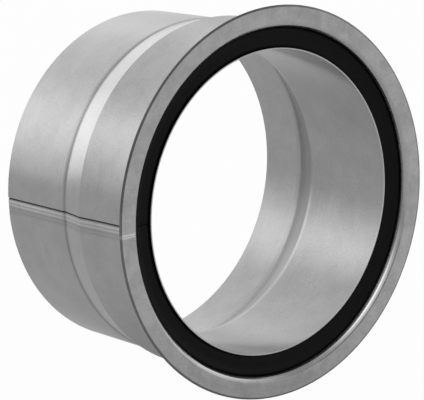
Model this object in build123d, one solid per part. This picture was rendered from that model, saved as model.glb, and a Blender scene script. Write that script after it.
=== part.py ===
from build123d import *

import math
import os

# Flue wall sleeve: a seamed outer shell with a flange, an inner sleeve for the stove pipe,
# and a gasket ring between them. Millimetres. The axis lies along Y, +Z is up, and the
# flange faces -Y into the room. The origin is on the axis at the inner sleeve's front edge.

# Stove pipe and sheet
pipe_diameter = 150.0
pipe_clearance = 0.5
sheet = 0.6

# Outer shell: depths from the flange's front face
shell_length = 107.0
flange_ahead = 4.5
shoulder_depth = 44.2
crease_depth = 58.2
crease_run = 3.2

# Outer shell: the rear tube's radius over the bore's, and the rises from that tube's outside
shell_gap = 10.8
shoulder_rise = 2.3
neck_rise = 0.6
crease_dip = 0.3
flange_width = 10.4

# Outer shell: bends. That of the flange is on its front face, that of the crease outside.
flange_bend = 3.5
crease_bend = 8.0
hem_gap = 0.2
hem_width = 5.0

# Lock seam of the shell. The angle is that of its groove, from +X towards +Z.
seam_angle = 180.7
fold_width = 5.0
fold_gap = 0.06
groove_depth = 0.5
groove_bevel = 0.3
seam_sink = 0.25
seam_ramp = 1.6
ridge_count = 3
ridge_height = 0.18
fold_setback = 8.0
slit_width = 0.3
slit_offset = 1.5

# Inner sleeve
flare_start = 55.5
sleeve_length = 76.8
collar_length = 3.0
flare_bend = 9.0
seat_clearance = 0.1
seam_clearance = 0.4

# Gasket
gasket_recess = 0.4
gasket_depth = 20.0
gasket_round = 1.5
gasket_clearance = 0.2
gasket_split = 0.3
gasket_split_angle = 180.0

# Chords that draw a small bend, the bend at the front, the neck's curve along the seam, and
# the curves that are soft or hidden
bend_steps = 4
front_steps = 6
seam_steps = 3
coarse_steps = 2

# Worked out from the sizes above: outside radii, insides, and places along the axis
pipe_bore = pipe_diameter / 2 + pipe_clearance
rear_radius = pipe_bore + shell_gap
neck_radius = rear_radius + neck_rise
flange_radius = neck_radius + flange_width
rear_inside = rear_radius - sheet
neck_inside = neck_radius - sheet
shoulder_inside = rear_inside + shoulder_rise
flange_front = -flange_ahead
bend_end = flange_front + flange_bend
shoulder = flange_front + shoulder_depth
crease = flange_front + crease_depth
fold_front = bend_end + fold_setback
neck_run = shoulder - bend_end
neck_climb = shoulder_inside - neck_inside
neck_curve = (neck_run ** 2 + neck_climb ** 2) / (2 * neck_climb)
layer = sheet + fold_gap
seam_bump = seam_sink + 3 * layer

# The axis of every round shape. Sections are drawn with the radius along X.
axis = Axis((0, 0, 0), (0, -1, 0))


def turn(arc):
    """Angle about the axis that a length of the shell's circumference takes up."""
    return math.degrees(arc / rear_radius)


def ring(section, start=0.0, end=360.0):
    return revolve(section, axis, end - start).rotate(axis, start)


def bend(centre, radius, start, end, steps=bend_steps):
    """Points of a small bend, from one direction to another, in degrees."""
    angles = [math.radians(start + (end - start) * n / steps) for n in range(steps + 1)]
    return [(centre[0] + radius * math.cos(a), centre[1] + radius * math.sin(a)) for a in angles]


def between(inner, outer):
    """Section between two open lines that run the same way."""
    ends = [Line(inner @ 0, outer @ 0), Line(inner @ 1, outer @ 1)]
    return make_face(inner.edges() + outer.edges() + ends)


def neck_point(depth):
    """Point on the inside of the neck, which curves outwards from the flange to the shoulder."""
    reach = max(depth - bend_end, 0)
    return neck_inside + neck_curve - math.sqrt(neck_curve ** 2 - reach ** 2), depth


def wall_line(rise, front, steps):
    """Line at a rise above the tube's inside, from the rear edge to a depth at the front.
    The neck's curve takes a number of chords, or is a true curve where that is None."""
    rear = [
        (rear_inside, flange_front + shell_length),
        (rear_inside, crease + crease_run),
        (rear_inside - crease_dip, crease),
        (shoulder_inside, shoulder),
    ]
    if steps is None:
        curve = ThreePointArc(*(neck_point((shoulder * (2 - n) + front * n) / 2) for n in range(3)))
        line = Wire(FilletPolyline(*rear, radius=crease_bend).edges() + [curve])
    else:
        depths = [shoulder + (front - shoulder) * n / steps for n in range(1, steps + 1)]
        line = Polyline(*rear, *map(neck_point, depths))
    return Pos(rise, 0) * line


def wall_band(low, high, front, inside=coarse_steps, outside=coarse_steps):
    """Section of the shell's wall between two rises, with the chords on each side of it."""
    return between(wall_line(low, front, inside), wall_line(high, front, outside))


def formed_band(*stations):
    """Sheet along the seam, formed from one (angle, low offset, high offset) to the next."""
    sections = [(angle, wall_band(low, high, bend_end, seam_steps, seam_steps))
                for angle, low, high in stations]
    return loft([section.rotate(axis, angle) for angle, section in sections], ruled=True)


def flange_section():
    """The bend at the neck, the flange, and the hem that is folded behind it."""
    hem_round = sheet + hem_gap / 2
    rim = flange_radius - hem_round
    hem_back = flange_front + 2 * hem_round
    bend_centre = (neck_inside + flange_bend, bend_end)
    return make_face(Polyline(
        *bend(bend_centre, flange_bend, 180, 270, front_steps),
        *bend((rim, flange_front + hem_round), hem_round, -90, 90),
        (rim - hem_width, hem_back),
        (rim - hem_width, hem_back - sheet),
        (rim, hem_back - sheet),
        (rim, flange_front + sheet),
        *bend(bend_centre, flange_bend - sheet, 270, 180, coarse_steps),
        close=True,
    ))


def hidden_ring(low, high, start, end):
    """Part of a fold below the shell's inside, which ends short of the gasket's face."""
    return ring(wall_band(low, high, fold_front), start, end)


# Angles of the seam, downwards from the groove
dive = seam_angle - turn(fold_gap / 2)
groove = seam_angle + turn(fold_gap / 2)
return_start = groove + turn(sheet + fold_gap)
hook_end = groove + turn(sheet + fold_width)
ramp_start = hook_end + turn(sheet + fold_gap)
seam_top = dive - turn(sheet)
seam_end = ramp_start + turn(seam_ramp)


def lock_seam():
    """The two edges of the rolled sheet, each folded back and hooked into the other. The
    upper edge turns in at the groove and runs below; the lower edge lies outside as a strip."""
    top, second, third, bottom = (-seam_sink - n * layer for n in range(4))
    bevel = turn(groove_bevel)

    floor = sheet - groove_depth
    upper = formed_band((seam_top, 0, sheet), (dive - bevel, 0, sheet), (dive, 0, floor))
    upper += hidden_ring(bottom, 0, seam_top, dive)
    upper += hidden_ring(bottom, bottom + sheet, dive, hook_end)
    upper += hidden_ring(bottom, second + sheet, hook_end, hook_end + turn(sheet))
    upper += hidden_ring(second, second + sheet, return_start, hook_end)

    fold_end = groove + turn(sheet)
    lower = hidden_ring(third, top, groove, fold_end)
    lower += hidden_ring(third, third + sheet, fold_end, hook_end - turn(fold_gap))
    strip = [(groove, top, top + floor), (groove + bevel, top, top + sheet)]
    spans = 2 * ridge_count + 1
    for n in range(1, spans + 1):
        low = top + ridge_height * (n % 2 == 0)
        strip.append((groove + n * (ramp_start - groove) / spans, low, low + sheet))
    strip.append((seam_end, 0, sheet))
    lower += formed_band(*strip)
    return upper + lower


def outer_shell():
    flange = flange_section()
    slit_start = groove + turn(slit_offset)
    wall = wall_band(0, sheet, bend_end, outside=None)
    shell = ring(wall + flange, seam_end, seam_top + 360)
    shell += ring(flange, seam_top, slit_start)
    shell += ring(flange, slit_start + turn(slit_width), seam_end)
    return shell + lock_seam()


def seam_space(clearance):
    """The room that the seam takes up inside the shell, with a clearance round it."""
    section = wall_band(-seam_sink - clearance, sheet, flange_front, seam_steps, seam_steps)
    front = fold_front - clearance
    section += wall_band(-seam_bump - clearance, sheet, front, outside=seam_steps)
    return ring(section, seam_top - turn(clearance), seam_end + turn(clearance))


def inner_sleeve():
    """Tube for the stove pipe, flared at the rear to seat inside the shell."""
    collar_bore = rear_inside - seat_clearance - sheet
    points = [
        (pipe_bore, 0),
        (pipe_bore, flare_start),
        (collar_bore, sleeve_length - collar_length),
        (collar_bore, sleeve_length),
    ]
    inside = FilletPolyline(*points, radius=[flare_bend, 0])
    outside = offset(Polyline(*points), sheet, side=Side.RIGHT, closed=False, kind=Kind.INTERSECTION)
    return ring(between(inside, Wire(outside.edges()))) - seam_space(seam_clearance)


def gasket():
    """Strip laid as a ring between the two tubes, with its ends butted beside the seam."""
    inner = pipe_bore + sheet + gasket_clearance
    outer = neck_inside - gasket_clearance
    back = gasket_recess + gasket_depth
    crown = gasket_recess + gasket_round
    section = make_face(Polyline(
        *bend((inner + gasket_round, crown), gasket_round, 180, 270, coarse_steps),
        *bend((outer - gasket_round, crown), gasket_round, 270, 360, coarse_steps),
        (outer, back),
        (inner, back),
        close=True,
    ))
    end = gasket_split_angle + turn(gasket_split)
    return ring(section, end, gasket_split_angle + 360) - seam_space(gasket_clearance)


os.makedirs("parts", exist_ok=True)
export_step(outer_shell(), "parts/outer_shell.step")
export_step(inner_sleeve(), "parts/inner_sleeve.step")
export_step(gasket(), "parts/gasket.step")
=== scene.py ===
import math

import bpy
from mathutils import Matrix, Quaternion, Vector, noise


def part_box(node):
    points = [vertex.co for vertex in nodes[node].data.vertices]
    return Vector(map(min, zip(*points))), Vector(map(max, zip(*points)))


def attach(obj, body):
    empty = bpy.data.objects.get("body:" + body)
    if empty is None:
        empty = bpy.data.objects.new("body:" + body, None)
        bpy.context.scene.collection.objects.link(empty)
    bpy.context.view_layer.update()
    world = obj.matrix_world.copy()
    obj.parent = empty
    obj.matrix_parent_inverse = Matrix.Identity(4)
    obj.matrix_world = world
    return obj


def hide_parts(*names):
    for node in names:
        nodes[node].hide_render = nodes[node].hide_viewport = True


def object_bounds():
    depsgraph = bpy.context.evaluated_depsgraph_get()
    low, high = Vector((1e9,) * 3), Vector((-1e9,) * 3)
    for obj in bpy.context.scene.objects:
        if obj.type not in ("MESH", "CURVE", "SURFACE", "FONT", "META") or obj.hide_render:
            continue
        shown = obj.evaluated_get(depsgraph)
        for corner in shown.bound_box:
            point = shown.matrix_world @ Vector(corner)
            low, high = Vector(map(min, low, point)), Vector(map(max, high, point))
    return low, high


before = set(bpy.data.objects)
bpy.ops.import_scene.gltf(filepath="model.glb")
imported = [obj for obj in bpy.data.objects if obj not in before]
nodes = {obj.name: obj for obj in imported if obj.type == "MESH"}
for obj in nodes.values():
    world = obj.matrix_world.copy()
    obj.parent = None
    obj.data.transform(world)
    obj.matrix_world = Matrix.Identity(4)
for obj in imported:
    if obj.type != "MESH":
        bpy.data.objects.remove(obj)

cad_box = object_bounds()
scene = bpy.context.scene
scene.view_settings.view_transform = "Standard"

# Flue wall sleeve: the looks of its metal, its soft gasket strip, a floor, light and camera.
# Lengths are metres unless they say otherwise. A tone multiplies a colour, and 1 leaves it.

# Noises, as (scale, detail, roughness), and the range of a noise that is spread over an effect
GRAIN = (1400.0, 2.0, 0.6)
STREAKS = (160.0, 3.0, 0.6)
WAVES = (28.0, 1.0, 0.4)
BLOTCHES = (130.0, 4.0, 0.65)
PORES = (1800.0, 3.0, 0.7)
DUST = (90.0, 3.0, 0.6)
CLOUD_DETAIL, CLOUD_ROUGHNESS = 4.0, 0.6
NOISE_LOW, NOISE_HIGH = 0.30, 0.70

# Sheets, as (tone, roughness, cloud size, cloud depth)
SHELL_SHEET = (0.42, 0.20, 0.011, 0.045)
SLEEVE_SHEET = (0.40, 0.20, 0.014, 0.05)

# What is the same on both sheets: how much grain and streaks change the tone, how much clouds
# and streaks change the roughness, how high waves and grain stand, and the streaks' direction
GRAIN_TONE, STREAK_TONE = 0.06, 0.015
CLOUD_ROUGH, STREAK_ROUGH = 0.02, 0.01
WAVE_HEIGHT, GRAIN_HEIGHT = 0.0003, 0.00001
ROUND_RATE, ALONG_RATE = 0.02, 6.0

# Marks, as (front, rear, edge, tone, added roughness) along the axis: the shell's crease, then
# the sleeve's flare, the rear part of that flare, and the sleeve's front edge. The darker tones
# at the crease and at the flare are painted shade
SHELL_CREASE_PAINTED_SHADE = [(0.0542, 0.0556, 0.0009, 0.60, 0.05)]
SLEEVE_MARKS_AND_PAINTED_SHADE = [
    (0.0550, 0.0735, 0.0014, 0.66, 0.16),
    (0.0655, 0.0738, 0.0030, 0.86, 0.06),
    (-0.0010, 0.0002, 0.0001, 1.4, -0.04),
]
# How much of a mark shows: the streaks' range, and the share at its two ends
MARK_STREAKS = (0.25, 0.75)
MARK_SHARE = (0.75, 1.25)

# The lock seam: where its groove is, in degrees, and its distance from the axis
SEAM_ANGLE = 180.7
SEAM_RADIUS = 0.0868
# Tones by millimetres below the groove: of the seam, with painted shade in the groove and painted
# highlights on the ridges, and of the flange's joint, with a painted highlight on its edge
SEAM_PAINTED_SHADE_AND_HIGHLIGHTS = [
    (-0.6, 1.0), (-0.35, 1.06), (-0.1, 0.35), (0.35, 0.45), (0.9, 0.85), (1.4, 1.12),
    (1.9, 1.36), (2.3, 1.12), (2.7, 0.86), (3.1, 1.10), (3.5, 1.26), (4.1, 0.98),
    (4.9, 0.78), (5.5, 0.94), (6.0, 0.95), (6.5, 0.82), (7.2, 0.96), (8.5, 1.0),
]
JOINT_PAINTED_HIGHLIGHT = [(0.6, 1.0), (1.0, 1.55), (2.2, 1.55), (2.7, 1.0)]

# The flange: where its tone ends in depth and begins in radius, its blotches, and painted shade on
# its rim
FLANGE_DEPTH = (-0.0030, -0.0020)
FLANGE_RADIUS = (0.0870, 0.0890)
FLANGE_TONES = (1.04, 1.26)
RIM_RADIUS = (0.0961, 0.0965)
RIM_PAINTED_SHADE = 0.35

# The gasket's black, as (place in the noise, grey), and its gloss
BLACK_STOPS = [(0.12, 0.0024), (0.40, 0.0066)]
BLACK_ROUGHNESS = (0.50, 0.62)
BLACK_SPECULAR = 0.10
PORE_HEIGHT = 0.00008

# The gasket strip: its width, its butt joint, and the steps that it is drawn in
STRIP_WIDTH = 0.0098
STRIP_JOINT = math.radians(180.1)
STRIP_GAP = 0.00015
STRIP_STEPS = 420
FACE_STEPS = 14
# Its rounded edges: their depth, the outer one's share of it, where the straight sides begin,
# and the share of the width that the face is narrower by on each side
EDGE_DEPTH = 0.0009
OUTER_SHARE = 0.4
SIDE_START = 0.0016
FACE_INSET = 0.01
# Its face: how deep it sags, the ripple's rate, and how far its ends are pulled in
SAG_DEPTH, SAG_RATE = 0.00012, 9
PULL_DEPTH, PULL_REACH = 0.0004, 0.0007
# How far the face is pressed out beside the shell, and between which shares of the width
BULGE = 0.0013
BULGE_START, BULGE_FULL = 0.45, 0.90
# The hollow for the seam: shallow at the face, deep from a depth behind it
SEAM_MIDDLE = math.radians(183.05)
SEAM_HALF = math.radians(2.95)
SEAM_SLOPE = math.radians(0.2)
SEAM_SINK = 0.00045
SEAM_FOLDS = 0.00245
SEAM_FRONT = 0.0066
SEAM_STEP = 0.0001

# The floor: half its width, its grey, and how white it is to the camera and in the metal
FLOOR_HALF = 12.0
FLOOR_GREY = 0.60
FLOOR_TO_CAMERA = 0.97
FLOOR_IN_METAL = 0.19

# The studio: an even level all round, and soft lights as (azimuth, height, tightness, strength)
EVEN_LEVEL = 0.35
SOFT_LIGHTS = [
    (60, 0, 25, 0.63),
    (120, 0, 25, 0.36),
    (75, 15, 25, 0.78),
    (105, 15, 25, 1.53),
    (135, 15, 25, 0.22),
    (60, 30, 25, 0.51),
    (90, 30, 25, 0.31),
    (135, 30, 25, 0.90),
    (350, 15, 8, 1.09),
    (230, 50, 8, 1.98),
    (90, 55, 12, 0.46),
]

# The camera: place, direction, roll in degrees, lens and sensor in millimetres, and reach
EYE = (-0.67723, -0.77115, 0.20319)
LOOK = (0.62577, 0.75582, -0.19273)
ROLL = -0.481
LENS = 181.4
SENSOR_WIDTH = 36.0
REACH = 60.0


class Shader:
    """The node tree of a material or world, with short ways to add and join nodes."""

    def __init__(self, owner, output="OutputMaterial"):
        self.owner = owner
        self.owner.use_nodes = True
        self.tree = self.owner.node_tree
        self.tree.nodes.clear()
        self.output = self.add(output)

    def add(self, kind, inputs=None, **settings):
        made = self.tree.nodes.new("ShaderNode" + kind)
        for key, value in settings.items():
            setattr(made, key, value)
        for key, value in (inputs or {}).items():
            self.set(made, key, value)
        return made

    def set(self, made, key, value):
        socket = made.inputs[key]
        if isinstance(value, bpy.types.NodeSocket):
            self.tree.links.new(value, socket)
        else:
            socket.default_value = value

    def math(self, operation, *values):
        return self.add("Math", dict(enumerate(values)), operation=operation).outputs[0]

    def noise(self, vector, scale, detail, roughness):
        made = self.add("TexNoise", {"Vector": vector, "Scale": scale, "Detail": detail,
                                     "Roughness": roughness})
        return made.outputs["Fac"]

    def ramp(self, value, low, high, to_low=0.0, to_high=1.0, kind="SMOOTHSTEP"):
        made = self.add("MapRange", {"Value": value, "From Min": low, "From Max": high,
                                     "To Min": to_low, "To Max": to_high},
                        interpolation_type=kind)
        return made.outputs["Result"]

    def spread(self, value, low, high):
        """A noise's middle range, spread from one value to another."""
        return self.ramp(value, NOISE_LOW, NOISE_HIGH, low, high)

    def either_side(self, value, middle, reach):
        return self.spread(value, middle - reach, middle + reach)

    def place(self):
        return self.add("TexCoord").outputs["Object"]

    def split(self, vector):
        return self.add("SeparateXYZ", {"Vector": vector}).outputs

    def vector(self, x, y, z):
        return self.add("CombineXYZ", {"X": x, "Y": y, "Z": z}).outputs[0]

    def bump(self, height, distance, normal=None):
        inputs = {"Height": height, "Distance": distance, "Strength": 1.0}
        if normal is not None:
            inputs["Normal"] = normal
        return self.add("Bump", inputs).outputs["Normal"]

    def finish(self, surface):
        self.set(self.output, "Surface", surface)
        return self.owner


def new_material(name):
    return Shader(bpy.data.materials.new(name))


def tone_ramp(s, value, tones):
    """Tone by distance: each stop is (millimetres, tone). Stops hold half the tone, because a
    stop's colour ends at 1."""
    first, last = tones[0][0], tones[-1][0]
    along = s.ramp(value, first / 1000, last / 1000, kind="LINEAR")
    made = s.add("ValToRGB", {"Fac": along})
    stops = made.color_ramp.elements
    while len(stops) < len(tones):
        stops.new(0.5)
    for stop, (place, tone) in zip(stops, tones):
        stop.position = (place - first) / (last - first)
        stop.color = (tone / 2, tone / 2, tone / 2, 1)
    return s.math("MULTIPLY", made.outputs["Color"], 2.0)


def flange_and_seam(s, place, depth, radius):
    """Tone of the flange's blotches, with painted shade on its rim and a painted highlight at its
    joint, and of the lock seam, with painted shade in its groove and painted highlights on its
    ridges.
    """
    x, _, z = s.split(place)
    from_left = s.math("ARCTAN2", s.math("MULTIPLY", z, -1.0), s.math("MULTIPLY", x, -1.0))
    past_groove = s.math("SUBTRACT", from_left, math.radians(SEAM_ANGLE - 180))
    below = s.math("MULTIPLY", past_groove, SEAM_RADIUS)
    on_flange = s.math("MULTIPLY", s.ramp(depth, *FLANGE_DEPTH, 1.0, 0.0),
                       s.ramp(radius, *FLANGE_RADIUS))
    face = s.spread(s.noise(place, *BLOTCHES), *FLANGE_TONES)
    # Painted shade on the flange's rim
    face = s.math("MULTIPLY", face, s.ramp(radius, *RIM_RADIUS, 1.0, RIM_PAINTED_SHADE))
    # Painted highlight on the edge of the flange's joint
    face = s.math("MULTIPLY", face, tone_ramp(s, below, JOINT_PAINTED_HIGHLIGHT))
    # Painted shade in the seam's groove and painted highlights on its ridges
    wall = tone_ramp(s, below, SEAM_PAINTED_SHADE_AND_HIGHLIGHTS)
    return s.math("ADD", s.math("MULTIPLY", face, on_flange),
                  s.math("MULTIPLY", wall, s.math("SUBTRACT", 1.0, on_flange)))


def sheet_metal(name, sheet, marks, flanged=False):
    """Dull metal-coated sheet with cloudy mottling, a fine grain, faint streaks and marks. Its
    darker marks are painted shade, and a flanged sheet gets painted shade and highlights at its seam
    and flange.
    """
    tone, roughness, cloud_size, cloud_depth = sheet
    s = new_material(name)
    place = s.place()
    x, depth, z = s.split(place)
    radius = s.math("SQRT", s.math("ADD", s.math("MULTIPLY", x, x), s.math("MULTIPLY", z, z)))
    angle = s.math("ARCTAN2", z, x)
    along = s.vector(s.math("MULTIPLY", angle, ROUND_RATE), s.math("MULTIPLY", depth, ALONG_RATE),
                     s.math("MULTIPLY", radius, ALONG_RATE))
    clouds = s.noise(place, 1 / cloud_size, CLOUD_DETAIL, CLOUD_ROUGHNESS)
    grain = s.noise(place, *GRAIN)
    streaks = s.noise(along, *STREAKS)
    waves = s.noise(place, *WAVES)
    fine = s.math("ADD", s.either_side(grain, 0, GRAIN_TONE), s.either_side(streaks, 0, STREAK_TONE))
    shade = s.math("ADD", s.either_side(clouds, 1, cloud_depth), fine)
    shade = s.math("MULTIPLY", shade, tone)
    rough = s.math("ADD", s.either_side(clouds, roughness, CLOUD_ROUGH),
                   s.either_side(streaks, 0, STREAK_ROUGH))
    # A mark's tone multiplies the colour in its band: at the crease and the flare this is painted
    # shade
    for front, rear, edge, mark_tone, mark_rough in marks:
        inside = s.math("MULTIPLY", s.ramp(depth, front - edge, front + edge),
                        s.ramp(depth, rear - edge, rear + edge, 1.0, 0.0))
        share = s.math("MULTIPLY", inside, s.ramp(streaks, *MARK_STREAKS, *MARK_SHARE))
        shade = s.math("MULTIPLY", shade, s.ramp(share, 0.0, 1.0, 1.0, mark_tone, kind="LINEAR"))
        rough = s.math("ADD", rough, s.math("MULTIPLY", inside, mark_rough))
    if flanged:
        # Painted shade and highlights of the flange's rim and joint and of the lock seam
        shade = s.math("MULTIPLY", shade, flange_and_seam(s, place, depth, radius))
    metal = s.add("BsdfPrincipled", {
        "Base Color": s.vector(shade, shade, shade),
        "Metallic": 1.0,
        "Roughness": rough,
        "Normal": s.bump(grain, GRAIN_HEIGHT, s.bump(waves, WAVE_HEIGHT)),
    })
    return s.finish(metal.outputs[0])


def soft_black(name):
    """Matt black sealing strip with a slightly dusty, uneven face."""
    s = new_material(name)
    place = s.place()
    pores = s.noise(place, *PORES)
    dust = s.noise(place, *DUST)
    base = s.add("ValToRGB", {"Fac": s.math("MULTIPLY", pores, dust)})
    for stop, (position, grey) in zip(base.color_ramp.elements, BLACK_STOPS):
        stop.position = position
        stop.color = (grey, grey, grey, 1)
    rubber = s.add("BsdfPrincipled", {
        "Base Color": base.outputs[0],
        "Roughness": s.spread(dust, *BLACK_ROUGHNESS),
        "Specular IOR Level": BLACK_SPECULAR,
        "Normal": s.bump(pores, PORE_HEIGHT),
    })
    return s.finish(rubber.outputs[0])


def floor_white(name):
    """Pale floor: white to the camera, dimmer in the metal, and it keeps a soft shadow."""
    s = new_material(name)
    rays = s.add("LightPath").outputs
    in_metal = s.math("MAXIMUM", rays["Is Glossy Ray"], rays["Is Transmission Ray"])
    white = s.math("MAXIMUM", s.math("MULTIPLY", rays["Is Camera Ray"], FLOOR_TO_CAMERA),
                   s.math("MULTIPLY", in_metal, FLOOR_IN_METAL))
    paint = s.add("BsdfDiffuse", {"Color": (FLOOR_GREY, FLOOR_GREY, FLOOR_GREY, 1)})
    light = s.add("Emission", {"Color": (1, 1, 1, 1), "Strength": 1.0})
    mix = s.add("MixShader", {0: white, 1: paint.outputs[0], 2: light.outputs[0]})
    return s.finish(mix.outputs[0])


def studio_world():
    """Even light with soft lights in it. To the camera it is plain white."""
    s = Shader(bpy.data.worlds.new("studio"), "OutputWorld")
    direction = s.add("TexCoord").outputs["Generated"]
    total = EVEN_LEVEL
    for azimuth, height, tightness, strength in SOFT_LIGHTS:
        a, h = math.radians(azimuth), math.radians(height)
        towards = (math.cos(h) * math.cos(a), math.cos(h) * math.sin(a), math.sin(h))
        dot = s.add("VectorMath", {0: direction, 1: towards}, operation="DOT_PRODUCT")
        facing = s.math("MAXIMUM", dot.outputs["Value"], 0.0)
        glow = s.math("POWER", facing, tightness)
        total = s.math("ADD", s.math("MULTIPLY", glow, strength), total)
    seen = s.add("LightPath").outputs["Is Camera Ray"]
    level = s.ramp(seen, 0.0, 1.0, total, 1.0, kind="LINEAR")
    background = s.add("Background", {"Color": (1, 1, 1, 1), "Strength": level})
    return s.finish(background.outputs[0])


def strip_angles(start, end):
    """Angles round the strip, with one at each edge of the seam's hollow."""
    angles = [start + (end - start) * i / STRIP_STEPS for i in range(STRIP_STEPS + 1)]
    edges = [SEAM_MIDDLE + side * (SEAM_HALF + extra)
             for side in (-1, 1) for extra in (0, SEAM_SLOPE)]
    return sorted(angles + [a if a > start else a + math.tau for a in edges])


def strip_section(a, from_end, inner, outer, front, back):
    """The strip's outline at an angle, as (radius, depth)."""
    near_seam = SEAM_HALF + SEAM_SLOPE - abs((a - SEAM_MIDDLE + math.pi) % math.tau - math.pi)
    seam = min(max(near_seam / SEAM_SLOPE, 0.0), 1.0)
    face_rim, fold_rim = outer - SEAM_SINK * seam, outer - SEAM_FOLDS * seam
    pull = math.exp(-from_end * outer / PULL_REACH)
    ripple = noise.noise(Vector((SAG_RATE * math.cos(a), SAG_RATE * math.sin(a), 0.0)))
    sag = SAG_DEPTH * (ripple + 1) + PULL_DEPTH * pull
    section = [(inner, back), (inner, front + SIDE_START)]
    for k in range(FACE_STEPS + 1):
        u = k / FACE_STEPS
        edge = max(1 - 2 * u, 0.0) ** 4 + OUTER_SHARE * max(2 * u - 1, 0.0) ** 10
        pressed = (u - BULGE_START) / (BULGE_FULL - BULGE_START)
        swell = BULGE * min(max(pressed, 0.0), 1.0) ** 2
        across = FACE_INSET + (1 - 2 * FACE_INSET) * u
        depth = front + sag + EDGE_DEPTH * edge - swell
        section.append((inner + (face_rim - inner) * across, depth))
    return section + [
        (face_rim, front + SIDE_START),
        (face_rim, SEAM_FRONT),
        (fold_rim, SEAM_FRONT + SEAM_STEP),
        (fold_rim, back),
    ]


def gasket_strip():
    """Soft strip in a ring, in place of the gasket's plain solid. It is hollowed where the lock
    seam's folds lie against it."""
    low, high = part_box("gasket")
    outer, front, back = high.x, low.y, high.y
    start = STRIP_JOINT + STRIP_GAP / outer
    end = STRIP_JOINT + math.tau - STRIP_GAP / outer
    angles = strip_angles(start, end)
    verts, faces = [], []
    for a in angles:
        from_end = min(a - start, end - a)
        section = strip_section(a, from_end, outer - STRIP_WIDTH, outer, front, back)
        verts += [(r * math.cos(a), y, r * math.sin(a)) for r, y in section]
    n = len(section)
    for i in range(len(angles) - 1):
        for k in range(n):
            a, b = i * n + k, i * n + (k + 1) % n
            faces.append((a, b, b + n, a + n))
    faces.append(tuple(range(n - 1, -1, -1)))
    faces.append(tuple(range(len(verts) - n, len(verts))))
    piece = new_piece("gasket_strip", verts, faces)
    for polygon in piece.data.polygons[:-2]:
        polygon.use_smooth = True
    return piece


def plain_floor():
    """Wide floor under the part's lowest point."""
    ground = cad_box[0][2]
    corners = [(-1, -1), (1, -1), (1, 1), (-1, 1)]
    verts = [(x * FLOOR_HALF, y * FLOOR_HALF, ground) for x, y in corners]
    return new_piece("floor", verts, [(0, 1, 2, 3)])


def new_piece(name, verts, faces):
    mesh = bpy.data.meshes.new(name)
    mesh.from_pydata(verts, [], faces)
    mesh.validate()
    piece = bpy.data.objects.new(name, mesh)
    scene.collection.objects.link(piece)
    return piece


def dress(piece, material):
    piece.data.materials.clear()
    piece.data.materials.append(material)


def photo_camera():
    """Camera from where the part looks as it does in the photograph."""
    data = bpy.data.cameras.new("camera")
    data.sensor_width = SENSOR_WIDTH
    data.lens = LENS
    data.clip_end = REACH
    camera = bpy.data.objects.new("camera", data)
    scene.collection.objects.link(camera)
    camera.location = EYE
    roll = Quaternion((0, 0, 1), math.radians(ROLL))
    camera.rotation_euler = (Vector(LOOK).to_track_quat("-Z", "Y") @ roll).to_euler()
    return camera


shell_metal = sheet_metal("shell_sheet", SHELL_SHEET, SHELL_CREASE_PAINTED_SHADE, flanged=True)
sleeve_metal = sheet_metal("sleeve_sheet", SLEEVE_SHEET, SLEEVE_MARKS_AND_PAINTED_SHADE)
dress(nodes["outer_shell"], shell_metal)
dress(nodes["inner_sleeve"], sleeve_metal)

strip = gasket_strip()
dress(strip, soft_black("gasket_black"))
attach(strip, "root")
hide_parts("gasket")

floor = plain_floor()
dress(floor, floor_white("floor_white"))

scene.world = studio_world()
scene.camera = photo_camera()
